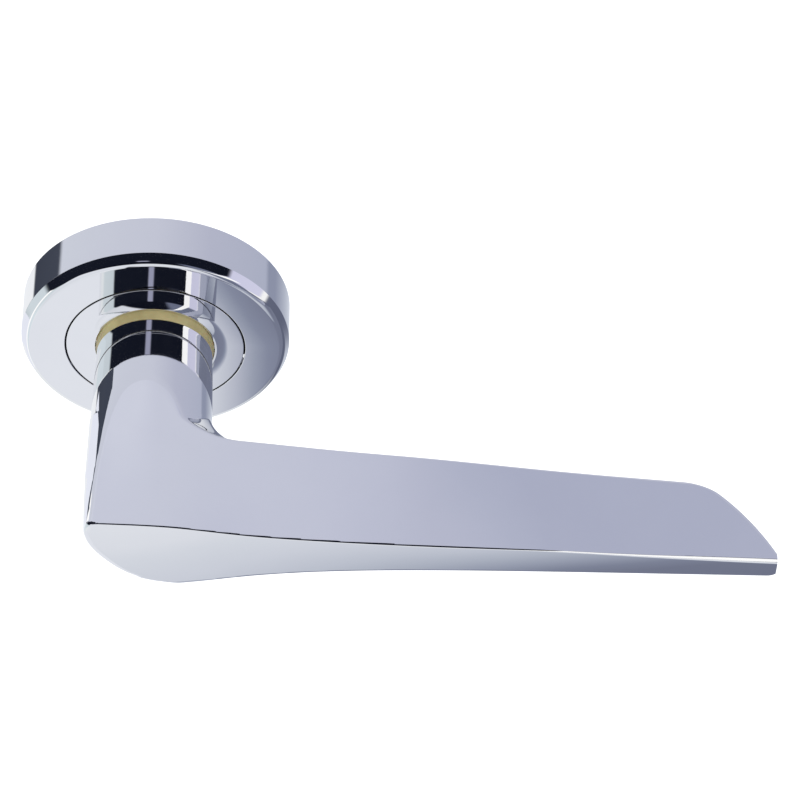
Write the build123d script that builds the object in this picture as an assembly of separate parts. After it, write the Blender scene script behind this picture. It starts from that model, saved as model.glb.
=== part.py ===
from build123d import *
import math
import os

# Sprung door lever handle on a round rose, one side of a pair.
# Frame: origin on the turning axis at the door face, +X along the lever,
# +Z up, and the room on the -Y side.  All lengths are millimetres.

# ---- rose ----
ROSE_R = 26.0                 # rose is 52 mm across
ROSE_DEPTH = 10.6
BEVEL_R = 24.1                # radius where the bevel meets the flat face
BEVEL_START = 8.7             # depth at which the bevel leaves the side wall
BEVEL_BULGE = 0.16
COVER_WALL = 1.7
COVER_HOLE_R = 17.5
HUB_R = 17.3
HUB_SKIRT_END = 5.0
COLLAR_RISE = 0.3
PLATE_R = 23.6                # threaded rim of the base plate
THREAD_PLAY = 0.12
RIM_WALL = 2.0
RIM_DEPTH = 6.0
PLATE_FLOOR = 2.6
WEB_DEPTH = 4.6               # front of the web that carries the rear bush
CUP_IN_R = 15.2
CUP_OUT_R = 16.8
CUP_DEPTH = 9.0
REAR_POCKET_R = 13.6

# ---- fixings ----
BOLT_CENTRES = 38.0
SLEEVE_R = 3.75
SLEEVE_LENGTH = 9.0
SLEEVE_SEAT = 0.8             # depth of the counterbore that locates each sleeve
SLEEVE_SHANK_R = 2.2
BOLT_THREAD_R = 1.65          # M4 tapping size
WOOD_SCREW_R = 19.2
WOOD_SCREW_HOLE_R = 2.1
WOOD_SCREW_HEAD_R = 2.35
WOOD_SCREW_HEAD_DEPTH = 1.6
WOOD_SCREW_ANGLES = (45, 135, 225, 315)

# ---- turning parts ----
SPIGOT_R = 8.0
SPIGOT_FLAT = 7.0             # half width over the driver flats
SPIGOT_END = 0.3
RUN_FIT = 0.05
BUSH_R = 9.6
BUSH_FIT = 0.03
FLANGE_R = 11.4
FLANGE_FRONT = 12.9
FERRULE_GAP = 0.08
FERRULE_FRONT = 16.3
NECK_BACK = 16.4
NECK_R = 11.35
HEEL_R = 12.2
CLIP_GROOVE_R = 7.5
CLIP_BACK = 0.5
CLIP_FRONT = 1.5
SOCKET = 8.2
SOCKET_DEPTH = 44.0
SPINDLE = 8.0
SPINDLE_FRONT = 41.0
SPINDLE_BACK = 14.0
GRUB_R = 2.5
GRUB_Y = 27.0
GRUB_LENGTH = 6.0
GRUB_KEY_R = 1.45             # over the corners of the hexagon socket
GRUB_KEY_DEPTH = 2.5
THRUST_R = 12.6
THRUST_BACK = 2.1
DISC_IN_R = 8.15
DISC_OUT_R = 11.8
DISC_THICKNESS = 0.3
DISC_BACK = 1.62
DISC_RISE = 0.14              # height of the disc spring's cone
CLIP_R = 9.7
CLIP_PLAY = 0.03
CLIP_MOUTH = 1.6              # half width of the gap
CLIP_EAR = (3.0, -10.2)
CLIP_EAR_R = 1.5
CLIP_EAR_HOLE_R = 0.6

# ---- lever ----
LEVER_FRONT = 57.7            # projection from the door
TOP_SLOPE = 0.18              # the top rises towards the door
UNDER_SLOPE = 0.22
BLADE_ROOT = -1.0             # the blade starts inside the neck
BLADE_BACK = 38.6
BLADE_BACK_TIP = 42.1
BLADE_HALF_BLANK = 20.0
WEB_FILLET = 4.5
TIP_CENTRE = (82.3, -77.4)    # circle that slants the tip, in plan
TIP_CIRCLE_R = 42.0
TIP_CORNER_R = 4.5
NOSE_R = 1.6
CUTTER_REACH = 40.0
CUTTER_OVERRUN = 4.0

# front edges of the top and the underside as (X, Z) points, seen from the room
TOP_EDGE = ((-16, 6.6), (-4, 5.9), (10, 4.2), (29, 1.65), (55, -0.55), (125, -4.6))
UNDER_EDGE = ((-2, -11.9), (6, -12.3), (20, -10.6), (38, -8.9), (66, -8.3), (125, -9.1))
TOP_CUT_BACK = 17.5
UNDER_CUT_BACK = 30.0

# ---- spring case ----
DRIVER_BACK = 5.0
DRIVER_FRONT = 6.6
DRIVER_R = 11.2
LOBE_R = 14.4
LOBE_ANGLE = 112.5            # lobe direction at rest, from +X towards +Z
LOBE_WIDTH = 5.0
PIN_R = 1.5
PIN_CIRCLE = 12.9
PIN_ANGLES = (132.0, 48.0)
RIVET_CIRCLE = 13.7
RIVET_ANGLES = (25.0, 155.0, 205.0, 335.0)
RIVET_R = 1.0
RIVET_HEAD = 0.62
BOSS_R = 2.0
SPRING_R = 10.3
SPRING_WIRE_R = 0.5
SPRING_PITCH = 1.15
SPRING_TURNS = 1.05
LID_THICKNESS = 0.6
BEARING_BACK = 7.9
PRESS_GAP = 0.01


def tube(outer, inner, back, front):
    """Ring about the turning axis; back and front are depths from the door."""
    depth = front - back
    ring = Cylinder(outer, depth) - Cylinder(inner, depth * 2)
    return Rot(90, 0, 0) * Pos(0, 0, (back + front) / 2) * ring


def rod(radius, back, front, x=0.0, z=0.0):
    """Round bar parallel to the turning axis."""
    bar = Rot(90, 0, 0) * Pos(0, 0, (back + front) / 2) * Cylinder(radius, front - back)
    return Pos(x, 0, z) * bar


def turned(points):
    """Solid of revolution about Y from (radius, depth) points."""
    outline = Polyline([(r, -depth) for r, depth in points], close=True)
    return revolve(make_face(outline), axis=Axis.Y)


def polar(radius, degrees):
    """X and Z of a point on a circle about the turning axis."""
    angle = math.radians(degrees)
    return radius * math.cos(angle), radius * math.sin(angle)


def slab(x0, x1, back, front, z0, z1):
    """Box from its limits; back and front are depths from the door."""
    size = Box(x1 - x0, front - back, z1 - z0)
    return Pos((x0 + x1) / 2, -(back + front) / 2, (z0 + z1) / 2) * size


# ---------------------------------------------------------------- lever
def side_face(curve, level):
    """Face in the XZ plane between a curve and a level line, at Y = 0."""
    start = curve @ 0
    end = curve @ 1
    ends = [(start.X, 0, level), (end.X, 0, level)]
    closing = Polyline([start, ends[0], ends[1], end])
    return make_face(Wire([*curve.edges(), *closing.edges()]))


def oblique(face, slope, back, front):
    """Sweep a face along Y with a rise towards the door."""
    placed = Pos(0, -front, 0) * face
    return Solid.extrude(placed.face(), Vector(0, front - back, slope * (front - back)))


def cutter(edge, level, slope, back):
    """Everything on one side of a curved edge, swept obliquely through the lever."""
    face = side_face(Spline([(x, 0, z) for x, z in edge]), level)
    swept = oblique(face, slope, back, LEVER_FRONT + CUTTER_OVERRUN)
    return Pos(0, 0, -CUTTER_OVERRUN * slope) * swept


def blade():
    """Plan outline of the grip with its slanted tip, cut to the underside."""
    end = TIP_CENTRE[0] + TIP_CIRCLE_R
    corners = [
        (BLADE_ROOT, -LEVER_FRONT),
        (BLADE_ROOT, -BLADE_BACK),
        (end, -BLADE_BACK_TIP),
        (end, -LEVER_FRONT),
    ]
    plan = make_face(Polyline(corners, close=True))
    beyond = Pos(end, -LEVER_FRONT) * Rectangle(2 * TIP_CIRCLE_R, 2 * TIP_CIRCLE_R)
    plan -= beyond - Pos(*TIP_CENTRE) * Circle(TIP_CIRCLE_R)
    tip = plan.vertices().filter_by(lambda v: v.X > TIP_CENTRE[0]).sort_by(Axis.Y)
    plan = fillet([tip[-1]], TIP_CORNER_R)
    nose = plan.vertices().sort_by(lambda v: v.X)[-1]
    plan = fillet([nose], NOSE_R)
    block = Pos(0, 0, -BLADE_HALF_BLANK) * extrude(plan, 2 * BLADE_HALF_BLANK)
    return block - cutter(UNDER_EDGE, -CUTTER_REACH, UNDER_SLOPE, UNDER_CUT_BACK)


def neck_to_blade(edge):
    """True for the curve where the neck runs into the back of the blade."""
    return edge.geom_type == GeomType.ELLIPSE and edge.center().X > 5


def lever():
    flare = Cone(NECK_R, HEEL_R, LEVER_FRONT - NECK_BACK)
    neck = Rot(90, 0, 0) * Pos(0, 0, (LEVER_FRONT + NECK_BACK) / 2) * flare
    body = Rot(0, 180, 0) * neck + blade() - cutter(TOP_EDGE, CUTTER_REACH, TOP_SLOPE, TOP_CUT_BACK)
    body = fillet(body.edges().filter_by(neck_to_blade), WEB_FILLET)
    body += rod(SPIGOT_R, SPIGOT_END, NECK_BACK)
    body -= tube(SPIGOT_R + 1, CLIP_GROOVE_R, CLIP_BACK, CLIP_FRONT)
    for side in (-1, 1):
        flat_in, flat_out = sorted((side * SPIGOT_FLAT, side * (SPIGOT_R + 1)))
        body -= slab(flat_in, flat_out, 0, DRIVER_FRONT + RUN_FIT, -SPIGOT_R, SPIGOT_R)
    half = SOCKET / 2
    body -= slab(-half, half, 0, SOCKET_DEPTH, -half, half)
    body -= Pos(0, -GRUB_Y, -8) * Cylinder(GRUB_R, 14)
    return body


def grub_screw():
    """M5 set screw with a hex key socket, nipping the spindle from below."""
    top = -SOCKET / 2
    body = Pos(0, -GRUB_Y, top - GRUB_LENGTH / 2) * Cylinder(GRUB_R - 2 * PRESS_GAP, GRUB_LENGTH)
    key = extrude(RegularPolygon(GRUB_KEY_R, 6), GRUB_KEY_DEPTH)
    return body - Pos(0, -GRUB_Y, top - GRUB_LENGTH) * key


def neck_ferrule():
    back = FLANGE_FRONT + FERRULE_GAP
    return tube(NECK_R, SPIGOT_R + 2 * PRESS_GAP, back, FERRULE_FRONT)


# ----------------------------------------------------------------- rose
def rose_cover():
    """Screwed-on outer ring with a rounded bevel and an open back."""
    bore = PLATE_R + THREAD_PLAY
    face_back = ROSE_DEPTH - COVER_WALL
    bevel_mid = (
        (ROSE_R + BEVEL_R) / 2 + BEVEL_BULGE,
        -(BEVEL_START + ROSE_DEPTH) / 2 - BEVEL_BULGE,
    )
    start = (ROSE_R, -BEVEL_START)
    end = (BEVEL_R, -ROSE_DEPTH)
    inner = [
        end,
        (COVER_HOLE_R, -ROSE_DEPTH),
        (COVER_HOLE_R, -face_back),
        (bore, -face_back),
        (bore, 0),
        (ROSE_R, 0),
        start,
    ]
    outline = [ThreePointArc(start, bevel_mid, end), Polyline(inner)]
    return revolve(make_face(outline), axis=Axis.Y)


def rose_hub():
    """Pressed chrome cap over the spring cup, with a rolled collar round the bush."""
    skirt_in = CUP_OUT_R + BUSH_FIT
    collar_in = FLANGE_R + 0.12
    collar_out = collar_in + 0.8
    collar_mid = (collar_in + collar_out) / 2
    back = CUP_DEPTH + 0.65
    front = ROSE_DEPTH
    profile = [
        Polyline(
            [
                (collar_out, -front),
                (HUB_R, -front),
                (HUB_R, -HUB_SKIRT_END),
                (skirt_in, -HUB_SKIRT_END),
                (skirt_in, -back),
                (BUSH_R + BUSH_FIT, -back),
                (BUSH_R + BUSH_FIT, -front),
                (collar_in, -front),
            ]
        ),
        ThreePointArc((collar_in, -front), (collar_mid, -front - COLLAR_RISE), (collar_out, -front)),
    ]
    return revolve(make_face(profile), axis=Axis.Y)


def base_plate():
    """Die-cast plate: threaded rim, spring cup, and a pocket behind for the clip."""
    body = turned(
        [
            (REAR_POCKET_R, 0),
            (PLATE_R, 0),
            (PLATE_R, RIM_DEPTH),
            (PLATE_R - RIM_WALL, RIM_DEPTH),
            (PLATE_R - RIM_WALL, PLATE_FLOOR),
            (CUP_OUT_R, PLATE_FLOOR),
            (CUP_OUT_R, CUP_DEPTH),
            (CUP_IN_R, CUP_DEPTH),
            (CUP_IN_R, WEB_DEPTH),
            (BUSH_R, WEB_DEPTH),
            (BUSH_R, PLATE_FLOOR),
            (REAR_POCKET_R, PLATE_FLOOR),
        ]
    )
    for angle in RIVET_ANGLES:
        x, z = polar(RIVET_CIRCLE, angle)
        body += rod(BOSS_R, WEB_DEPTH, CUP_DEPTH, x, z)
        body -= rod(RIVET_R, WEB_DEPTH + 1, CUP_DEPTH + 1, x, z)
    for angle in PIN_ANGLES:
        x, z = polar(PIN_CIRCLE, angle)
        body -= rod(PIN_R, 0, CUP_DEPTH, x, z)
    for side in (-1, 1):
        x = side * BOLT_CENTRES / 2
        body -= rod(SLEEVE_SHANK_R, -1, CUP_DEPTH, x)
        body -= rod(SLEEVE_R, -1, SLEEVE_SEAT, x)
    for angle in WOOD_SCREW_ANGLES:
        x, z = polar(WOOD_SCREW_R, angle)
        body -= rod(WOOD_SCREW_HOLE_R, -1, PLATE_FLOOR + 1, x, z)
        body -= rod(WOOD_SCREW_HEAD_R, WOOD_SCREW_HEAD_DEPTH, PLATE_FLOOR + 1, x, z)
    return body


def bolt_sleeves():
    """Pair of threaded lugs that take the through bolts from the other side."""
    sleeves = []
    for side in (-1, 1):
        x = side * BOLT_CENTRES / 2
        lug = rod(SLEEVE_R - PRESS_GAP, -SLEEVE_LENGTH, SLEEVE_SEAT, x)
        lug += rod(SLEEVE_SHANK_R - PRESS_GAP, 0, PLATE_FLOOR, x)
        lug -= rod(BOLT_THREAD_R, -SLEEVE_LENGTH - 1, 0, x)
        sleeves.append(lug)
    return sleeves


def rear_bush():
    return tube(BUSH_R - BUSH_FIT, SPIGOT_R + RUN_FIT, PLATE_FLOOR, WEB_DEPTH)


def bearing_ring():
    """Flanged nylon bush; its flange is the tan ring seen at the neck."""
    barrel = tube(BUSH_R, SPIGOT_R + RUN_FIT, BEARING_BACK, ROSE_DEPTH)
    flange = tube(FLANGE_R, SPIGOT_R + RUN_FIT, ROSE_DEPTH, FLANGE_FRONT)
    return barrel + flange


def driver_plate():
    """Steel cam on the spigot flats; its lobes meet the stop pins."""
    plate = rod(DRIVER_R, DRIVER_BACK, DRIVER_FRONT)
    for angle in (LOBE_ANGLE, LOBE_ANGLE + 180):
        arm = slab(0, LOBE_R, DRIVER_BACK, DRIVER_FRONT, -LOBE_WIDTH / 2, LOBE_WIDTH / 2)
        plate += Rot(0, -angle, 0) * arm
    flat = SPIGOT_FLAT + 2 * PRESS_GAP
    hole = rod(SPIGOT_R + 2 * PRESS_GAP, 0, CUP_DEPTH)
    hole &= slab(-flat, flat, 0, CUP_DEPTH, -SPIGOT_R - 1, SPIGOT_R + 1)
    return plate - hole


def return_spring():
    """Torsion spring: one turn of round wire in front of the driver."""
    helix = Helix(pitch=SPRING_PITCH, height=SPRING_PITCH * SPRING_TURNS, radius=SPRING_R)
    start = Plane(origin=helix @ 0, z_dir=helix % 0)
    coil = sweep(start * Circle(SPRING_WIRE_R), path=helix)
    return Rot(90, 0, 0) * Pos(0, 0, DRIVER_FRONT + SPRING_WIRE_R + 0.1) * coil


def spring_plate():
    """Thin steel plate that closes the spring cup."""
    plate = tube(CUP_OUT_R - RUN_FIT, BUSH_R + 2 * RUN_FIT, CUP_DEPTH, CUP_DEPTH + LID_THICKNESS)
    for angle in RIVET_ANGLES:
        x, z = polar(RIVET_CIRCLE, angle)
        plate -= rod(RIVET_R, 0, ROSE_DEPTH, x, z)
    return plate


def plate_rivets():
    rivets = []
    for angle in RIVET_ANGLES:
        x, z = polar(RIVET_CIRCLE, angle)
        rivets.append(rod(RIVET_R - PRESS_GAP, WEB_DEPTH + 1, CUP_DEPTH + RIVET_HEAD, x, z))
    return rivets


def stop_pins():
    pins = []
    for angle in PIN_ANGLES:
        x, z = polar(PIN_CIRCLE, angle)
        pins.append(rod(PIN_R - PRESS_GAP, PLATE_FLOOR + 0.2, CUP_DEPTH - 0.4, x, z))
    return pins


def thrust_washer():
    return tube(THRUST_R, SPIGOT_R + 2 * RUN_FIT, THRUST_BACK, PLATE_FLOOR - BUSH_FIT)


def spring_washer():
    """Disc spring that takes up end float behind the thrust washer."""
    back = DISC_BACK
    front = DISC_BACK + DISC_THICKNESS
    section = [
        (DISC_IN_R, back),
        (DISC_IN_R, front),
        (DISC_OUT_R, front + DISC_RISE),
        (DISC_OUT_R, back + DISC_RISE),
    ]
    return turned(section)


def retaining_ring():
    """External circlip with a gap and two pierced ears."""
    back = CLIP_BACK + CLIP_PLAY
    front = CLIP_FRONT - CLIP_PLAY
    clip = tube(CLIP_R, CLIP_GROOVE_R + 2 * PRESS_GAP, back, front)
    clip -= slab(-CLIP_MOUTH, CLIP_MOUTH, 0, 2 * CLIP_FRONT, -REAR_POCKET_R, 0)
    ear_x, ear_z = CLIP_EAR
    for side in (-1, 1):
        ear = rod(CLIP_EAR_R, back, front, side * ear_x, ear_z)
        ear -= rod(CLIP_EAR_HOLE_R, 0, 2 * CLIP_FRONT, side * ear_x, ear_z)
        clip += ear
    return clip


def spindle():
    half = SPINDLE / 2
    bar = slab(-half, half, -SPINDLE_BACK, SPINDLE_FRONT, -half, half)
    return chamfer(bar.edges().filter_by(Axis.Y), 0.4)


PARTS = {
    "lever": lever,
    "grub_screw": grub_screw,
    "neck_ferrule": neck_ferrule,
    "bearing_ring": bearing_ring,
    "rose_cover": rose_cover,
    "rose_hub": rose_hub,
    "base_plate": base_plate,
    "bolt_sleeves": bolt_sleeves,
    "rear_bush": rear_bush,
    "driver_plate": driver_plate,
    "return_spring": return_spring,
    "spring_plate": spring_plate,
    "plate_rivets": plate_rivets,
    "stop_pins": stop_pins,
    "thrust_washer": thrust_washer,
    "spring_washer": spring_washer,
    "retaining_ring": retaining_ring,
    "spindle": spindle,
}


os.makedirs("parts", exist_ok=True)
for name, make in PARTS.items():
    shape = make()
    solids = shape if isinstance(shape, list) else [shape]
    export_step(Compound(children=solids) if len(solids) > 1 else solids[0], f"parts/{name}.step")
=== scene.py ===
import math

import bpy
import bmesh
import numpy as np
from mathutils import Matrix, Vector


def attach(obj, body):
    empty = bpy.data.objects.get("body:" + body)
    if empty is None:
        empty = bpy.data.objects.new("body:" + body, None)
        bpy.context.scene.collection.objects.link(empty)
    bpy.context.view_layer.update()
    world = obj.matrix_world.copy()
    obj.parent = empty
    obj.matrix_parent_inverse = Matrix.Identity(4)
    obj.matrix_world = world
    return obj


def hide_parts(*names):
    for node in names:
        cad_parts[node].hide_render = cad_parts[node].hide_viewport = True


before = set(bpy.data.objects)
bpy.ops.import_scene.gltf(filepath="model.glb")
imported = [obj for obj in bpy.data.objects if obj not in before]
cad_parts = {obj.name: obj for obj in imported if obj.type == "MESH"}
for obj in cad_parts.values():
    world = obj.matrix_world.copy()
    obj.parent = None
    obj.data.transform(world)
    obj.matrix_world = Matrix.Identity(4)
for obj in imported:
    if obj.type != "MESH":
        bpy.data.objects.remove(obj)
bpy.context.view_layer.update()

MM = 0.001
CHROME_LOSS = 1.115           # makes up for the light that the chrome takes

# ------------------------------------------------------------------ sizes, in millimetres
# The turning axis is Y, the door face is y = 0, and depths are counted from it
# towards the room (-Y).

# Rose cover: the bevelled outer ring.
ROSE_R = 26.0
ROSE_DEPTH = 10.6
BEVEL_R = 24.85               # radius where the bevel meets the flat face
BEVEL_START = 8.62            # depth at which the bevel leaves the side wall
COVER_HOLE_R = 17.5
COVER_WALL = 1.7
COVER_BORE_R = 23.72

# Hub: the centre disc, with a collar rolled up round the bush.
HUB_R = 17.2
HUB_BORE_R = 9.63
HUB_SKIRT_R = 16.83
HUB_SKIRT_END = 5.0
HUB_BACK = 9.65
HUB_WEB_FRONT = HUB_BACK + 0.2
COLLAR_IN_R = 11.55
COLLAR_TOP_R = 12.0
COLLAR_OUT_R = 13.1
COLLAR_FRONT = 10.95

# Tan bush: a barrel in the hub and a tapered flange in front of it.
BUSH_R = 9.6
BUSH_BACK = 7.9
BUSH_FIT = 0.05
FLANGE_R = 11.12
FLANGE_BASE_R = 11.5
FLANGE_BACK = 10.6
FLANGE_FRONT = 12.7

# Spigot and ferrule behind the neck.
SPIGOT_R = 8.0
SPIGOT_FLAT = 7.0             # half width over the driver flats
SPIGOT_END = 0.3
SPIGOT_OVERLAP = 0.3          # how far the spigot runs into the neck
SPIGOT_CHAMFER = 0.25
FLAT_END = 6.65
CLIP_GROOVE_R = 7.5
CLIP_BACK = 0.5
CLIP_FRONT = 1.5
SOCKET = 8.2
SOCKET_FRONT = 44.0
FERRULE_BACK = 12.8
FERRULE_FRONT = 16.3
FERRULE_R = 11.2
FERRULE_FIT = 0.02

# Lever: a flared neck that runs into a wedge-shaped blade.
NECK_BACK = 16.4
NECK_R = 11.35
HEEL_R = 12.2
LEVER_FRONT = 57.7
LEVER_TIP = 118.24
BLADE_ROOT = -1.5             # the blade starts inside the neck
BLADE_BACK = 38.5
BLADE_TAPER = 0.034           # the blade's back draws forward towards the tip
TIP_CENTRE = (82.3, -77.4)    # circle that slants the tip, seen from above
TIP_CIRCLE_R = 42.0
TIP_CORNER_R = 2.0
UNDER_SLOPE = 0.22            # the underside rises towards the door
UNDER_EDGE_R = 1.2
FRONT_EDGE_R = 1.0
FRONT_CROWN_R = 44.0
TOP_EDGE_R = 0.22
SLANT = 1.03                  # evens out distances to the slanted top and underside
GRUB_Y = 27.0                 # depth of the set screw's hole
GRUB_R = 2.5


# ------------------------------------------------------------------ mesh helpers
def new_object(name, verts, faces, normals=None):
    """Mesh object from millimetre vertices, smooth shaded, with given vertex normals."""
    mesh = bpy.data.meshes.new(name)
    mesh.from_pydata((np.asarray(verts) * MM).tolist(), [], faces)
    mesh.validate()
    mesh.polygons.foreach_set("use_smooth", [True] * len(mesh.polygons))
    if normals is not None:
        mesh.normals_split_custom_set_from_vertices(np.asarray(normals).tolist())
    mesh.update()
    obj = bpy.data.objects.new(name, mesh)
    bpy.context.scene.collection.objects.link(obj)
    return obj


def rounded(corners, count=5):
    """Closed counterclockwise profile from (radius, depth, rounding) corners.

    The rows that come back are (radius, depth, normal radius, normal depth).
    """
    rows = []
    points = [np.array(corner[:2], float) for corner in corners]
    for i, (_, _, rounding) in enumerate(corners):
        before = points[i - 1] - points[i]
        after = points[(i + 1) % len(points)] - points[i]
        before /= np.linalg.norm(before)
        after /= np.linalg.norm(after)
        turn = math.acos(np.clip(np.dot(before, after), -1, 1))
        reach = rounding / math.tan(turn / 2)
        middle = (before + after) / np.linalg.norm(before + after)
        centre = points[i] + middle * rounding / math.sin(turn / 2)
        convex = before[0] * after[1] - before[1] * after[0] < 0
        sign = 1 if convex else -1
        first = points[i] + before * reach - centre
        last = points[i] + after * reach - centre
        sweep = math.pi - turn
        for k in range(count + 1):
            t = k / count
            spoke = (math.sin((1 - t) * sweep) * first + math.sin(t * sweep) * last) / math.sin(sweep)
            rows.append((*(centre + spoke), *(sign * spoke / rounding)))
    return rows


def turned(name, profile, segments=288):
    """Closed profile turned about the axis; depth runs towards -Y."""
    profile = np.array(profile)
    count = len(profile)
    angles = np.linspace(0, 2 * np.pi, segments, endpoint=False)
    cos, sin = np.cos(angles)[:, None], np.sin(angles)[:, None]
    radius, depth, out, front = profile.T
    verts = np.stack([radius * cos, np.broadcast_to(-depth, (segments, count)), radius * sin], -1)
    normals = np.stack([out * cos, np.broadcast_to(-front, (segments, count)), out * sin], -1)
    faces = []
    for i in range(segments):
        for j in range(count):
            a = i * count + j
            b = i * count + (j + 1) % count
            c = ((i + 1) % segments) * count + (j + 1) % count
            d = ((i + 1) % segments) * count + j
            faces.append((a, d, c, b))
    return new_object(name, verts.reshape(-1, 3), faces, normals.reshape(-1, 3))


# ------------------------------------------------------------------ lever as a distance field
def smooth_step(value, low, high):
    t = np.clip((value - low) / (high - low), 0, 1)
    return t * t * (3 - 2 * t)


def join(a, b, radius):
    """Union of two fields with a round fillet."""
    inside = np.hypot(np.maximum(radius - a, 0), np.maximum(radius - b, 0))
    return np.maximum(radius, np.minimum(a, b)) - inside


def cut(a, b, radius):
    """Intersection of two fields with a rounded edge."""
    outside = np.hypot(np.maximum(radius + a, 0), np.maximum(radius + b, 0))
    return np.minimum(-radius, np.maximum(a, b)) + outside


def edge_wave(x):
    """The shallow bend of the front edge, on top of its main curve."""
    return 0.3 * (np.exp(-((x - 74) / 13) ** 2) - np.exp(-((x - 17) / 10) ** 2))


def front_edge_height(x):
    """Height of the edge between the top and the front: a long S from heel to tip."""
    return 4.233 - 0.058 * x - 1.479 * np.tanh((x - 16.8) / 14.9) + edge_wave(x)


def top_slope(x):
    """How steeply the top rises towards the door: steepest over the first half."""
    raised = smooth_step(x, -3, 31) * (1 - smooth_step(x, 46, 88))
    return 0.10 + 0.11 * smooth_step(x, -11, 2) + 0.073 * raised - edge_wave(x) / 18


def under_height(x):
    """Height of the front's lower edge: a deep heel that thins out to the blade."""
    wave = -12.645 - 0.017 * x + 5.379 * np.tanh((x - 7.48) / 26.95)
    belly = 0.5 * np.exp(-((x - 7.5) / 9.5) ** 2)
    return wave - belly + 0.158 * np.maximum(6 - x, 0) ** 1.5


def heel_hollow(x, y, z):
    """How far the lower left of the heel draws in from the cone towards the front."""
    direction, spread, start, amount = 37, 70, 44, 2.2
    around = np.degrees(np.arctan2(-z, -x))
    reach = np.clip(np.abs(around - direction) / spread, 0, 1)
    ease = np.clip((-y - start) / (LEVER_FRONT - start), 0, 1.2) ** 2
    return amount * np.cos(np.pi / 2 * reach) ** 2 * ease


def web_radius(y, z):
    """Fillet between neck and blade: wide at mid height, tight at top, bottom and front."""
    behind = smooth_step(y, -52, -43)
    above = smooth_step(z, -12, -7)
    middle = smooth_step(z, -10, -4) * (1 - smooth_step(z, 2.6, 10.8))
    return 1.0 + behind * (3.5 * above + 7.6 * middle)


def blade_field(x, y, z):
    """The wedge in front of the door: back, slanted tip and underside."""
    back = y + BLADE_BACK + BLADE_TAPER * x
    tip = np.hypot(np.maximum(x - TIP_CENTRE[0], 0), y - TIP_CENTRE[1]) - TIP_CIRCLE_R
    under = (under_height(x) + UNDER_SLOPE * (LEVER_FRONT + y) - z) / SLANT
    nose = UNDER_EDGE_R * (1 + smooth_step(x, 98, 118))
    return np.maximum(cut(cut(back, tip, TIP_CORNER_R), under, nose), BLADE_ROOT - x)


def lever_field(p):
    """Signed distance, near enough, to the lever's outer skin."""
    x, y, z = p[..., 0], p[..., 1], p[..., 2]
    depth = -y
    flare = (HEEL_R - NECK_R) / (LEVER_FRONT - NECK_BACK)
    neck = np.hypot(x, z) - (NECK_R + flare * (depth - NECK_BACK)) + heel_hollow(x, y, z)
    body = join(neck, blade_field(x, y, z), web_radius(y, z))

    middle = (front_edge_height(x) + under_height(x)) / 2
    crown = 0.3 + 0.7 * smooth_step(x, 10, 70)
    front = depth - LEVER_FRONT + crown * (z - middle) ** 2 / (2 * FRONT_CROWN_R)
    lower_left = (1 - smooth_step(x, -11, 2)) * (1 - smooth_step(z, 0, 5.5))
    body = cut(body, front, FRONT_EDGE_R * (1 + lower_left))

    top = (z - front_edge_height(x) - top_slope(x) * (LEVER_FRONT - depth)) / SLANT
    behind = 0.25 * smooth_step(y, -57, -50)
    heel = 0.9 * smooth_step(-x, 8.5, 11) * smooth_step(depth, 46, 54)
    end = 0.45 * smooth_step(x, 80, 118)
    body = cut(body, top, TOP_EDGE_R + behind + heel + end)
    return np.maximum(body, NECK_BACK - depth)


def field_normal(p, step=0.004):
    """Outward unit normals of the field, from central differences."""
    grad = np.stack(
        [lever_field(p + step * axis) - lever_field(p - step * axis) for axis in np.eye(3)], -1
    )
    return grad / np.maximum(np.linalg.norm(grad, axis=-1, keepdims=True), 1e-9)


def surface_hits(centres, directions, reach=40.0, halvings=26):
    """Distance from each centre to the skin along its direction, by halving."""
    low = np.zeros(directions.shape[:-1])
    high = np.full(directions.shape[:-1], reach)
    for _ in range(halvings):
        middle = (low + high) / 2
        inside = lever_field(centres + directions * middle[..., None]) < 0
        low = np.where(inside, middle, low)
        high = np.where(inside, high, middle)
    return (low + high) / 2


def section_planes():
    """Centres and in-plane axes of the lever's sections, from neck to tip.

    They stand square to the neck, fan round a pivot behind the bend, then stand
    square to the blade, closer together at the tip.
    """
    margin = 0.02
    pivot = np.array([16.0, -34.6])
    heel = 11.6
    fillet = 4.5
    tip_start = 100
    up = (0, 0, 1)
    planes = []
    for depth in np.linspace(NECK_BACK + margin, -pivot[1], 46)[:-1]:
        planes.append(((0, -depth, 0), (-1, 0, 0), up))
    for angle in np.radians(np.linspace(0, 90, 150)):
        out = np.array([-math.cos(angle), -math.sin(angle)])
        reach = min(
            (pivot[0] + heel) / max(math.cos(angle), 1e-6),
            (LEVER_FRONT + pivot[1]) / max(math.sin(angle), 1e-6),
        )
        middle = pivot + out * (fillet + reach) / 2
        height = -2.0 * math.sin(angle)
        planes.append(((*middle, height), (*out, 0), up))
    # Along the blade the centres keep to its middle, which drops and narrows at the tip.
    for x in np.linspace(pivot[0], tip_start, 150)[1:]:
        planes.append(((x, -48.5 - 0.01 * x, -4.0), (0, -1, 0), up))
    for x in np.linspace(tip_start, LEVER_TIP - margin, 90)[1:]:
        t = (x - tip_start) / (LEVER_TIP - tip_start)
        planes.append(((x, -49.5 - 7.4 * t ** 1.25, -5.2 - 1.2 * t), (0, -1, 0), up))
    return planes


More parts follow.
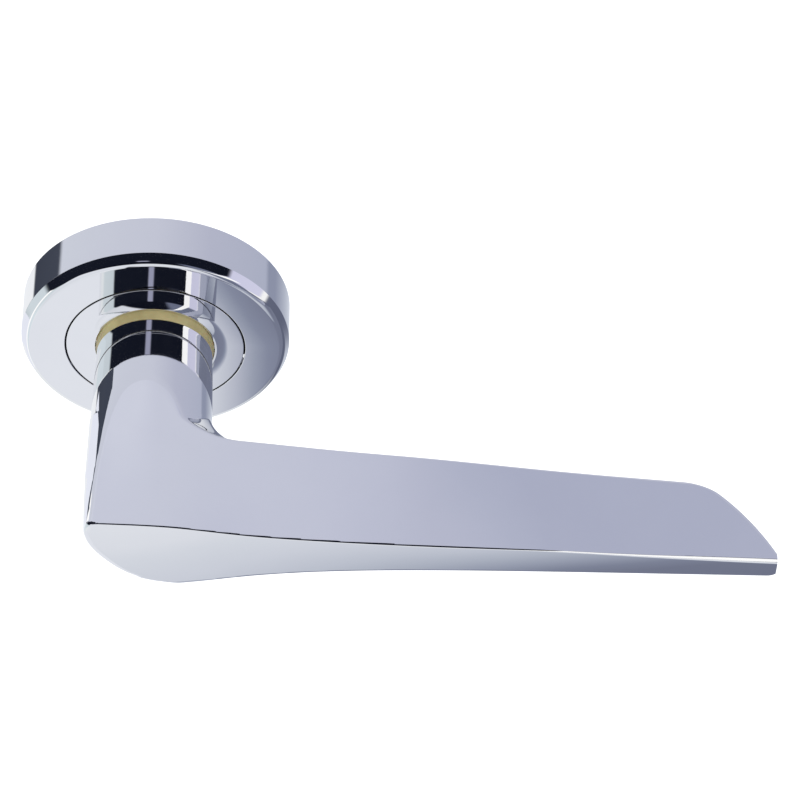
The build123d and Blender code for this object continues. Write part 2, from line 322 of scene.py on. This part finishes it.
def lever_sections(count=176, probe=720):
    """Rings of points on the skin, closer together where it curves."""
    planes = section_planes()
    centres = np.array([p[0] for p in planes], float)
    across = np.array([p[1] for p in planes], float)
    up = np.array([p[2] for p in planes], float)
    centres[:, 2] = section_heights(centres)

    def skin_points(angle):
        """Points and normals on the skin in the directions given for each section."""
        rays = np.cos(angle)[..., None] * across[:, None] + np.sin(angle)[..., None] * up[:, None]
        hits = centres[:, None] + rays * surface_hits(centres[:, None], rays)[..., None]
        return hits, field_normal(hits)

    angles = np.linspace(0, 2 * np.pi, probe, endpoint=False)
    hits, normals = skin_points(np.broadcast_to(angles, (len(planes), probe)))
    step = np.linalg.norm(np.roll(hits, -1, 1) - hits, axis=-1)
    bend = np.linalg.norm(np.roll(normals, -1, 1) - normals, axis=-1)
    bend_share, even_share = 2.2, 0.02
    weight = step + bend_share * bend + even_share
    half = 4
    kernel = np.ones(2 * half + 1) / (2 * half + 1)
    weight = np.stack([np.convolve(np.r_[w[-half:], w, w[:half]], kernel, "valid") for w in weight])
    total = np.concatenate([np.zeros((len(planes), 1)), np.cumsum(weight, 1)], 1)
    total /= total[:, -1:]
    wanted = np.arange(count) / count
    turn = np.append(angles, 2 * np.pi)
    return skin_points(np.stack([np.interp(wanted, row, turn) for row in total]))


def section_heights(centres):
    """Middle height of the skin above and below each section centre."""
    up = np.broadcast_to(np.array([0.0, 0.0, 1.0]), centres.shape)
    top = surface_hits(centres, up)
    bottom = surface_hits(centres, -up)
    return centres[:, 2] + (top - bottom) / 2


def build_grip():
    """Skin of the neck and blade through its sections, closed at both ends."""
    rings, normals = lever_sections()
    planes, count = rings.shape[:2]
    verts = rings.reshape(-1, 3).tolist()
    skin = normals.reshape(-1, 3).tolist()
    faces = []
    for i in range(planes - 1):
        for j in range(count):
            a = i * count + j
            b = i * count + (j + 1) % count
            faces.append((a, a + count, b + count, b))
    last = (planes - 1) * count
    verts.append(rings[-1].mean(0).tolist())
    skin.append([1, 0, 0])
    faces += [(last + (j + 1) % count, last + j, len(verts) - 1) for j in range(count)]
    verts.append(rings[0].mean(0).tolist())
    skin.append([0, 1, 0])
    hub = len(verts) - 1
    faces += [(j, (j + 1) % count, hub) for j in range(count)]
    return new_object("lever_grip", verts, faces, skin)


def build_spigot():
    """Shaft behind the neck: driver flats, clip groove and a square socket."""
    angles = np.unique(np.concatenate([
        np.linspace(0, 360, 144, endpoint=False),
        np.degrees(np.arccos(SPIGOT_FLAT / SPIGOT_R)) * np.array([1, -1]) % 360,
        180 - np.degrees(np.arccos(SPIGOT_FLAT / SPIGOT_R)) * np.array([1, -1]),
    ]))
    turn = np.radians(angles)
    cos, sin = np.cos(turn), np.sin(turn)
    flatted = np.minimum(SPIGOT_R, SPIGOT_FLAT / np.maximum(np.abs(cos), 1e-6))
    groove = np.minimum(flatted, CLIP_GROOVE_R)
    full = np.full(len(turn), SPIGOT_R)
    square = SOCKET / 2 / np.maximum(np.abs(cos), np.abs(sin))
    ease = SPIGOT_CHAMFER
    rows = [
        (square, SOCKET_FRONT), (square, SPIGOT_END + ease), (square + ease, SPIGOT_END),
        (flatted - ease, SPIGOT_END), (flatted, CLIP_BACK), (groove, CLIP_BACK),
        (groove, CLIP_FRONT), (flatted, CLIP_FRONT), (flatted, FLAT_END), (full, FLAT_END),
        (full, NECK_BACK + SPIGOT_OVERLAP),
    ]
    count = len(turn)
    verts = []
    for radius, depth in rows:
        verts += np.stack([radius * cos, np.full(count, -depth), radius * sin], -1).tolist()
    faces = []
    for i in range(len(rows) - 1):
        for j in range(count):
            a, b = i * count + j, i * count + (j + 1) % count
            faces.append((a, b, b + count, a + count))
    end = (len(rows) - 1) * count
    faces.append(list(range(end, end + count)))
    faces.append(list(range(count))[::-1])
    return sharp_object("lever_spigot", verts, faces)


def sharp_object(name, verts, faces, angle=30):
    """Mesh object from millimetre vertices, smooth but for edges sharper than the angle."""
    mesh = bpy.data.meshes.new(name)
    mesh.from_pydata((np.asarray(verts) * MM).tolist(), [], faces)
    work = bmesh.new()
    work.from_mesh(mesh)
    bmesh.ops.recalc_face_normals(work, faces=work.faces)
    work.to_mesh(mesh)
    work.free()
    mesh.shade_smooth()
    mesh.set_sharp_from_angle(angle=math.radians(angle))
    obj = bpy.data.objects.new(name, mesh)
    bpy.context.scene.collection.objects.link(obj)
    return obj


def drill_grub_hole(grip):
    """Opens the set screw's hole under the neck and keeps the skin's exact normals."""
    length, middle = 9, (0, -GRUB_Y, -9.5)
    bpy.ops.mesh.primitive_cylinder_add(
        vertices=72, radius=GRUB_R * MM, depth=length * MM, location=[v * MM for v in middle]
    )
    drill = bpy.context.object
    cut_out = grip.modifiers.new("grub_hole", "BOOLEAN")
    cut_out.operation = "DIFFERENCE"
    cut_out.solver = "EXACT"
    cut_out.object = drill
    graph = bpy.context.evaluated_depsgraph_get()
    mesh = bpy.data.meshes.new_from_object(grip.evaluated_get(graph))
    grip.modifiers.clear()
    grip.data = mesh
    bpy.data.objects.remove(drill)
    mesh.polygons.foreach_set("use_smooth", [True] * len(mesh.polygons))
    coords = np.empty(len(mesh.vertices) * 3)
    mesh.vertices.foreach_get("co", coords)
    coords = coords.reshape(-1, 3) / MM
    skin = field_normal(coords)
    corner_vertex = np.empty(len(mesh.loops), int)
    mesh.loops.foreach_get("vertex_index", corner_vertex)
    face_normals = np.empty(len(mesh.polygons) * 3)
    mesh.polygons.foreach_get("normal", face_normals)
    face_normals = face_normals.reshape(-1, 3)
    sizes = np.empty(len(mesh.polygons), int)
    mesh.polygons.foreach_get("loop_total", sizes)
    flat = np.repeat(face_normals, sizes, axis=0)
    smooth = skin[corner_vertex]
    least_cosine, tolerance = 0.8, 0.02
    agree = np.einsum("ij,ij->i", flat, smooth) > least_cosine
    on_skin = np.abs(lever_field(coords[corner_vertex])) < tolerance
    use_field = agree & on_skin
    mesh.normals_split_custom_set(np.where(use_field[:, None], smooth, flat).tolist())


# ------------------------------------------------------------------ materials
def srgb(red, green, blue):
    """Linear colour from 8-bit display values."""
    def channel(value):
        value /= 255
        return value / 12.92 if value <= 0.04045 else ((value + 0.055) / 1.055) ** 2.4
    return channel(red), channel(green), channel(blue)


class Nodes:
    """Small helper to wire a node tree."""

    def __init__(self, tree):
        self.tree = tree

    def add(self, kind, inputs=None, **settings):
        node = self.tree.nodes.new(kind)
        for key, value in settings.items():
            setattr(node, key, value)
        for key, value in (inputs or {}).items():
            if hasattr(value, "is_output"):
                self.tree.links.new(value, node.inputs[key])
            else:
                node.inputs[key].default_value = value
        return node

    def math(self, operation, a, b=0.0):
        return self.add("ShaderNodeMath", {0: a, 1: b}, operation=operation).outputs[0]

    def noise(self, place, scale, detail, **more):
        inputs = {"Vector": place, "Scale": scale, "Detail": detail, **more}
        return self.add("ShaderNodeTexNoise", inputs).outputs["Fac"]

    def spread(self, value, low, high, first=0.0, last=1.0, **settings):
        """Value rescaled from low..high to first..last."""
        inputs = {0: value, 1: low, 2: high, 3: first, 4: last}
        return self.add("ShaderNodeMapRange", inputs, **settings).outputs[0]

    def ramp(self, factor, stops):
        node = self.add("ShaderNodeValToRGB", {"Fac": factor})
        ramp = node.color_ramp
        while len(ramp.elements) < len(stops):
            ramp.elements.new(1.0)
        for element, (place, colour) in zip(ramp.elements, stops):
            element.position = place
            element.color = (*colour, 1)
        return node.outputs["Color"]

    def mix(self, factor, first, second):
        """Colour blend: first at factor 0, second at 1."""
        inputs = {0: factor, 6: first, 7: second}
        return self.add("ShaderNodeMix", inputs, data_type="RGBA").outputs[2]


def material(name, colour, metallic, roughness, **constants):
    """Principled material with its constants set on the shader's own sockets."""
    mat = bpy.data.materials.new(name)
    mat.use_nodes = True
    shader = mat.node_tree.nodes["Principled BSDF"]
    shader.inputs["Base Color"].default_value = (*colour, 1)
    shader.inputs["Metallic"].default_value = metallic
    shader.inputs["Roughness"].default_value = roughness
    for socket, value in constants.items():
        shader.inputs[socket.replace("_", " ")].default_value = value
    return mat, Nodes(mat.node_tree), shader


def dress(nodes, shader, cloud, tint, rough, relief):
    """Wire cloudy colour, uneven roughness and fine relief into a shader.

    tint is (low, dark, high, light), rough is (low, high, first, last) and relief
    is (height, strength, distance in metres).
    """
    low, dark, high, light = tint
    height, strength, distance = relief
    colour = nodes.ramp(cloud, [(low, dark), (high, light)])
    bump = nodes.add("ShaderNodeBump", {"Strength": strength, "Distance": distance, "Height": height})
    nodes.tree.links.new(colour, shader.inputs["Base Color"])
    nodes.tree.links.new(nodes.spread(cloud, *rough), shader.inputs["Roughness"])
    nodes.tree.links.new(bump.outputs[0], shader.inputs["Normal"])


def worn_metal(name, light, dark, rough, grain, bump):
    """Metal with mottled colour, uneven roughness and fine surface grain."""
    mat, nodes, shader = material(name, light, 1.0, rough[0])
    place = nodes.add("ShaderNodeTexCoord").outputs["Object"]
    mottle = nodes.noise(place, 260, 6.0)
    fine = nodes.noise(place, grain, 3.0)
    dress(nodes, shader, mottle, (0.3, dark, 0.7, light), (0.3, 0.7, *rough), (fine, bump, 0.0001))
    return mat


def chrome():
    """Plated and buffed zinc: near mirror, with faint haze and the softest ripple."""
    light, dark = (0.905, 0.905, 0.91), (0.88, 0.88, 0.89)
    mat, nodes, shader = material("polished_chrome", light, 1.0, 0.03)
    place = nodes.add("ShaderNodeTexCoord").outputs["Object"]
    haze = nodes.noise(place, 55.0, 5.0, Roughness=0.6)
    ripple = nodes.noise(place, 420.0, 1.0)
    dress(
        nodes, shader, haze, (0.25, dark, 0.7, light), (0.3, 0.75, 0.02, 0.055),
        (ripple, 0.05, 0.00003),
    )
    return mat


def nylon(name):
    """Glass-filled tan nylon with a slight mottle and moulding texture."""
    light, dark = srgb(182, 171, 124), srgb(150, 137, 94)
    mat, nodes, shader = material(
        name, light, 0.0, 0.4, Subsurface_Weight=0.12, Subsurface_Scale=0.002
    )
    place = nodes.add("ShaderNodeTexCoord").outputs["Object"]
    cloud = nodes.noise(place, 180.0, 6.0)
    pores = nodes.noise(place, 2600.0, 2.0)
    dress(
        nodes, shader, cloud, (0.3, dark, 0.68, light), (0.3, 0.7, 0.32, 0.5),
        (pores, 0.25, 0.00005),
    )
    return mat


# ------------------------------------------------------------------ stage
CAMERA_AIM = Vector((0.04677, -0.045, 0.02805))
CAMERA_AZIMUTH = -1.873       # degrees about Z, from straight in front
CAMERA_ELEVATION = 51.99
CAMERA_ROLL = 2.0
CAMERA_DISTANCE = 0.63704
CAMERA_LENS = 157.5


def add_camera():
    azimuth, elevation, roll = (
        math.radians(v) for v in (CAMERA_AZIMUTH, CAMERA_ELEVATION, CAMERA_ROLL)
    )
    back = Vector((
        math.sin(azimuth) * math.cos(elevation),
        -math.cos(azimuth) * math.cos(elevation),
        math.sin(elevation),
    ))
    level = (-back).cross(Vector((0, 0, 1))).normalized()
    upright = level.cross(-back)
    right = level * math.cos(roll) + upright * math.sin(roll)
    up = upright * math.cos(roll) - level * math.sin(roll)
    data = bpy.data.cameras.new("camera")
    data.lens = CAMERA_LENS
    data.sensor_width = 36
    data.clip_start = 0.01
    camera = bpy.data.objects.new("camera", data)
    camera.location = CAMERA_AIM + back * CAMERA_DISTANCE
    camera.rotation_euler = Matrix((right, up, back)).transposed().to_euler()
    bpy.context.scene.collection.objects.link(camera)
    bpy.context.scene.camera = camera


# Studio surroundings, as seen in the chrome: 8-bit display colours.  The angle runs
# about the turning axis from straight up (0) to the right (+90) and down (180), with
# one band for what lies towards the door and one for what lies towards the room.
DOOR_SIDE = [
    (-180, (240, 243, 248)), (-132, (245, 247, 250)), (-129, (62, 67, 80)),
    (-93, (68, 73, 86)), (-89, (210, 214, 226)), (0, (204, 207, 222)),
    (48, (186, 189, 208)), (110, (177, 182, 202)), (115, (146, 152, 174)),
    (126, (146, 152, 174)), (165, (206, 212, 224)), (180, (240, 243, 248)),
]
ROOM_SIDE = [
    (-180, (240, 243, 246)), (-134, (238, 242, 245)), (-126, (216, 226, 231)),
    (-95, (212, 222, 228)), (-91, (22, 26, 38)), (60, (18, 21, 33)),
    (63, (212, 212, 236)), (91, (215, 215, 238)), (94, (255, 255, 255)),
    (97, (255, 255, 255)), (100, (100, 105, 126)), (160, (96, 101, 122)),
    (173, (225, 230, 236)), (180, (240, 243, 246)),
]
# Straight ahead in the room, by height from -1 to 1.
ROOM_AHEAD = [
    (-0.6, (222, 226, 233)), (0.16, (232, 235, 243)), (0.24, (16, 19, 31)), (0.9, (16, 19, 31)),
]
RIGHT_AHEAD = (112, 118, 140)
WINDOW = [(-17, 0), (-14, 1), (-7, 1), (-4, 0)]     # a streak in the dark, by angle
WINDOW_COLOUR = (160, 162, 186)
AMBIENT = (0.93, 0.94, 0.96, 1)                     # what lights matt surfaces
# Where the bands meet: direction components from the first value to the second.
DOOR_FADE = (0.10, 0.40)      # along Y, from the room's band to the door's
AHEAD_FADE = (-0.72, -0.66)   # along Y, from straight ahead to the bands
WINDOW_FADE = (-0.50, -0.57)  # along Y, where the streak comes in
RIGHT_FADE = (0.2, 0.35)      # along X, where the right of the view ahead comes in
LOW_FADE = (-0.5, -0.35)      # along Z, below which that part stops


def studio_world():
    """Bands of light and dark for reflections, an even white for everything else."""
    world = bpy.data.worlds.new("studio")
    bpy.context.scene.world = world
    world.use_nodes = True
    nodes = Nodes(world.node_tree)
    place = nodes.add("ShaderNodeTexCoord").outputs["Generated"]
    parts = nodes.add("ShaderNodeSeparateXYZ", {0: place}).outputs
    angle = nodes.math("ARCTAN2", parts["X"], parts["Z"])
    turn = nodes.math("ADD", nodes.math("DIVIDE", angle, 2 * math.pi), 0.5)

    def band(stops):
        return nodes.ramp(turn, [((a + 180) / 360, srgb(*c)) for a, c in stops])

    def step(value, low, high):
        return nodes.spread(value, low, high, interpolation_type="SMOOTHSTEP")

    window = nodes.ramp(turn, [((a + 180) / 360, (g, g, g)) for a, g in WINDOW])
    window = nodes.math("MULTIPLY", window, step(parts["Y"], *WINDOW_FADE))
    room = nodes.mix(window, band(ROOM_SIDE), (*srgb(*WINDOW_COLOUR), 1))
    sides = nodes.mix(step(parts["Y"], *DOOR_FADE), room, band(DOOR_SIDE))
    height = nodes.math("ADD", nodes.math("MULTIPLY", parts["Z"], 0.5), 0.5)
    ahead = nodes.ramp(height, [((z + 1) / 2, srgb(*c)) for z, c in ROOM_AHEAD])
    right = nodes.math("MULTIPLY", step(parts["X"], *RIGHT_FADE), step(parts["Z"], *LOW_FADE))
    ahead = nodes.mix(right, ahead, (*srgb(*RIGHT_AHEAD), 1))
    seen = nodes.mix(step(parts["Y"], *AHEAD_FADE), ahead, sides)
    glossy = nodes.add("ShaderNodeLightPath").outputs["Is Glossy Ray"]
    colour = nodes.mix(glossy, AMBIENT, seen)
    back = world.node_tree.nodes["Background"]
    world.node_tree.links.new(colour, back.inputs["Color"])
    back.inputs["Strength"].default_value = 1.0


def level_corners(x0, x1, y0, y1, z):
    """Corners of a level card, in millimetres."""
    return [(x0, y0, z), (x1, y0, z), (x1, y1, z), (x0, y1, z)]


def soft_card(name, corners, stops, along):
    """Flat glowing card that only shows in reflections, as a painted reflection; its brightness follows
    a ramp.

    The stops are (distance in millimetres, display colour), and along(nodes, x, y)
    gives the distance in metres.
    """
    mesh = bpy.data.meshes.new(name)
    mesh.from_pydata((np.array(corners, float) * MM).tolist(), [], [tuple(range(len(corners)))])
    card = bpy.data.objects.new(name, mesh)
    bpy.context.scene.collection.objects.link(card)
    mat = bpy.data.materials.new(name)
    mat.use_nodes = True
    nodes = Nodes(mat.node_tree)
    mat.node_tree.nodes.remove(mat.node_tree.nodes["Principled BSDF"])
    place = nodes.add("ShaderNodeTexCoord").outputs["Object"]
    parts = nodes.add("ShaderNodeSeparateXYZ", {0: place}).outputs
    low, high = stops[0][0], stops[-1][0]
    factor = nodes.spread(along(nodes, parts["X"], parts["Y"]), low * MM, high * MM)
    colour = nodes.ramp(factor, [((d - low) / (high - low), srgb(*c)) for d, c in stops])
    # The glow is painted light, standing in for what the chrome reflects.
    glow = nodes.add("ShaderNodeEmission", {"Color": colour, "Strength": CHROME_LOSS})
    output = mat.node_tree.nodes["Material Output"]
    mat.node_tree.links.new(glow.outputs[0], output.inputs["Surface"])
    mesh.materials.append(mat)
    card.visible_camera = False
    card.visible_diffuse = False
    card.visible_shadow = False
    card.visible_transmission = False


def add_cards():
    """Glowing cards that paint what the chrome reflects: below the rose and the lever, above them, and
    off to the left.
    """
    white = (255, 255, 255)
    left = -60

    def near_rose(nodes, x, y):
        """Rightward, and shifted with the distance in front of y = -61 mm."""
        ahead = nodes.math("MAXIMUM", nodes.math("SUBTRACT", -0.061, y), 0.0)
        return nodes.math("ADD", x, nodes.math("MULTIPLY", ahead, 0.55))

    def near_lever(nodes, x, y):
        """Slantwise: rightward, and doorward from y = -103 mm."""
        nearer = nodes.math("MULTIPLY", nodes.math("ADD", y, 0.103), 0.8)
        return nodes.math("ADD", nodes.math("MULTIPLY", x, 0.6), nearer)

    def rightward(nodes, x, y):
        return x

    def doorward(nodes, x, y):
        return y

    # Painted reflection of the floor below the rose: pale on the left, darkening rightward into painted
    # shadow cast by the lever.
    soft_card("rose_painted_shade_card", level_corners(-60, 300, -84, -36, -62), [
        (-4, (222, 225, 232)), (5, (214, 217, 225)), (10, (198, 202, 212)),
        (14, (177, 181, 195)), (17.5, (150, 156, 173)), (20.5, (130, 136, 156)),
        (25, (120, 125, 145)), (45, (114, 119, 139)),
    ], near_rose)
    # Painted reflection of the floor below the lever: pale on the left, darkening rightward into
    # painted shadow cast by the lever.
    soft_card("lever_painted_shade_card", level_corners(-60, 300, -240, -84, -62), [
        (-26, (222, 225, 231)), (-5, (216, 219, 226)), (2, (209, 213, 221)),
        (15, (201, 205, 215)), (30, (186, 191, 203)), (42, (168, 174, 188)),
        (51, (149, 155, 172)), (60, (124, 130, 149)), (68, (113, 118, 137)),
        (95, (109, 114, 134)),
    ], near_lever)
    # Painted reflection of light overhead, seen on the tops: a little darker towards the right.
    soft_card("high_painted_reflection_card", level_corners(-300, 500, -50, 45, 150), [
        (-60, (203, 206, 220)), (-18, (198, 201, 216)), (25, (195, 198, 213)),
        (56, (191, 194, 211)), (61, (187, 190, 208)), (76, (180, 183, 202)),
        (89, (174, 178, 198)), (104, (169, 173, 194)), (134, (169, 173, 194)),
        (250, (178, 181, 200)),
    ], rightward)
    # Painted highlight and painted reflection to the left: a white stripe between pale parts, seen on
    # the lever's left side and corner.
    soft_card("side_highlight_card", [
        (left, -60, -15), (left, -30, -15), (left, -30, 15), (left, -19, 15),
        (left, -19, -15), (left, 9, -15), (left, 16, -21), (left, 22, -26),
        (left, 22, -80), (left, -60, -80),
    ], [
        (-60, (212, 222, 228)), (-31, (212, 222, 228)), (-30, white),
        (-19, white), (-18, (228, 231, 241)), (22, (226, 229, 240)),
    ], doorward)
    # Painted highlight: a white card above the tip, for the bright line along its top edge.
    soft_card("edge_highlight_card", level_corners(90, 160, -300, -66, 60), [
        (-300, white), (-66, white),
    ], doorward)
    # Painted reflection: a dark grey patch to the left, seen only in the chrome.
    soft_card("dark_reflection_card", [(left, -5, -3), (left, -5, 17), (left, 22, 17), (left, 22, -3)], [
        (-5, (60, 65, 78)), (22, (62, 67, 80)),
    ], doorward)


def add_floor():
    bpy.ops.mesh.primitive_plane_add(size=12, location=(0, 0, -0.30))
    floor = bpy.context.object
    floor.name = "floor"
    mat, _, shader = material("pale_floor", (0.9, 0.9, 0.9), 0.0, 0.9)
    shader.inputs["Emission Color"].default_value = (1, 1, 1, 1)
    shader.inputs["Emission Strength"].default_value = 0.35
    floor.data.materials.append(mat)
    floor.visible_glossy = False


def add_softbox():
    target = Vector((0.03, 0, 0))
    data = bpy.data.lights.new("softbox", "AREA")
    data.shape = "RECTANGLE"
    data.size, data.size_y = 0.7, 0.5
    data.energy = 4
    lamp = bpy.data.objects.new("softbox", data)
    lamp.location = (-0.15, -0.55, 0.85)
    lamp.rotation_euler = (target - lamp.location).to_track_quat("-Z", "Y").to_euler()
    lamp.visible_glossy = False
    bpy.context.scene.collection.objects.link(lamp)


# ------------------------------------------------------------------ build
def set_material(obj, mat):
    obj.data.materials.clear()
    obj.data.materials.append(mat)


def fit(obj, mat, body, slot, *nodes):
    """Put a visual piece on its body in place of the nodes it stands for."""
    set_material(obj, mat)
    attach(obj, body)
    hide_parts(*nodes)


add_camera()
studio_world()
add_floor()
add_softbox()
add_cards()

polished = chrome()
grip = build_grip()
drill_grub_hole(grip)
fit(grip, polished, "handle", "polished_chrome", "lever")
fit(build_spigot(), polished, "handle", "polished_chrome", "lever")

# The last value of every corner is the radius of its rounding.
cover = turned("rose_cover_ring", rounded([
    (COVER_HOLE_R, ROSE_DEPTH, 0.12),
    (COVER_HOLE_R, ROSE_DEPTH - COVER_WALL, 0.1),
    (COVER_BORE_R, ROSE_DEPTH - COVER_WALL, 0.3),
    (COVER_BORE_R, 0.0, 0.2),
    (ROSE_R, 0.0, 0.1),
    (ROSE_R, BEVEL_START, 0.1),
    (BEVEL_R, ROSE_DEPTH, 1.45),
], count=9))
fit(cover, polished, "cover", "polished_chrome", "rose_cover")

hub = turned("hub_cap", rounded([
    (HUB_R, ROSE_DEPTH, 0.12),
    (COLLAR_OUT_R, ROSE_DEPTH, 6.8),
    (COLLAR_TOP_R, COLLAR_FRONT, 0.2),
    (COLLAR_IN_R, COLLAR_FRONT, 0.12),
    (COLLAR_IN_R, HUB_WEB_FRONT, 0.05),
    (HUB_BORE_R, HUB_WEB_FRONT, 0.05),
    (HUB_BORE_R, HUB_BACK, 0.05),
    (HUB_SKIRT_R, HUB_BACK, 0.1),
    (HUB_SKIRT_R, HUB_SKIRT_END, 0.1),
    (HUB_R, HUB_SKIRT_END, 0.1),
]))
fit(hub, polished, "rose", "polished_chrome", "rose_hub")

ferrule = turned("ferrule", rounded([
    (SPIGOT_R + FERRULE_FIT, FERRULE_FRONT, 0.05),
    (SPIGOT_R + FERRULE_FIT, FERRULE_BACK, 0.05),
    (FERRULE_R, FERRULE_BACK, 0.12),
    (FERRULE_R, FERRULE_FRONT, 0.1),
]))
fit(ferrule, polished, "handle", "polished_chrome", "neck_ferrule")

bush = turned("nylon_bush", rounded([
    (SPIGOT_R + BUSH_FIT, FLANGE_FRONT, 0.1),
    (SPIGOT_R + BUSH_FIT, BUSH_BACK, 0.15),
    (BUSH_R, BUSH_BACK, 0.15),
    (BUSH_R, FLANGE_BACK, 0.1),
    (FLANGE_BASE_R, FLANGE_BACK, 0.15),
    (FLANGE_R, FLANGE_FRONT, 0.35),
]))
fit(bush, nylon("tan_nylon"), "rose", "tan_nylon", "bearing_ring")

# The pieces that keep their CAD shape: colours light and dark, roughness, grain, bump.
zinc = worn_metal("cast_zinc", (0.50, 0.50, 0.52), (0.36, 0.36, 0.38), (0.38, 0.6), 3200, 0.5)
plated = worn_metal("zinc_plate", (0.62, 0.63, 0.66), (0.50, 0.51, 0.55), (0.25, 0.42), 5200, 0.25)
spring_steel = worn_metal("spring_steel", (0.30, 0.30, 0.32), (0.20, 0.20, 0.22), (0.3, 0.5), 4200, 0.3)
bright = worn_metal("bright_steel", (0.60, 0.60, 0.60), (0.48, 0.48, 0.49), (0.25, 0.4), 3800, 0.25)
brass = worn_metal("brass", (0.80, 0.60, 0.30), (0.66, 0.46, 0.20), (0.22, 0.4), 3600, 0.25)
black = worn_metal("black_oxide", (0.05, 0.05, 0.055), (0.02, 0.02, 0.025), (0.35, 0.55), 4800, 0.4)
bar_steel = worn_metal("bar_steel", (0.56, 0.56, 0.57), (0.42, 0.42, 0.44), (0.28, 0.48), 2600, 0.4)
CARRIED = {
    "base_plate": zinc, "bolt_sleeves": zinc, "driver_plate": plated, "spring_plate": plated,
    "return_spring": spring_steel, "retaining_ring": spring_steel, "spring_washer": spring_steel,
    "stop_pins": bright, "plate_rivets": brass, "thrust_washer": brass, "grub_screw": black,
    "spindle": bar_steel, "rear_bush": nylon("rear_nylon"),
}
for node, mat in CARRIED.items():
    set_material(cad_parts[node], mat)

bpy.context.scene.view_settings.view_transform = "Standard"
bpy.context.scene.view_settings.look = "None"
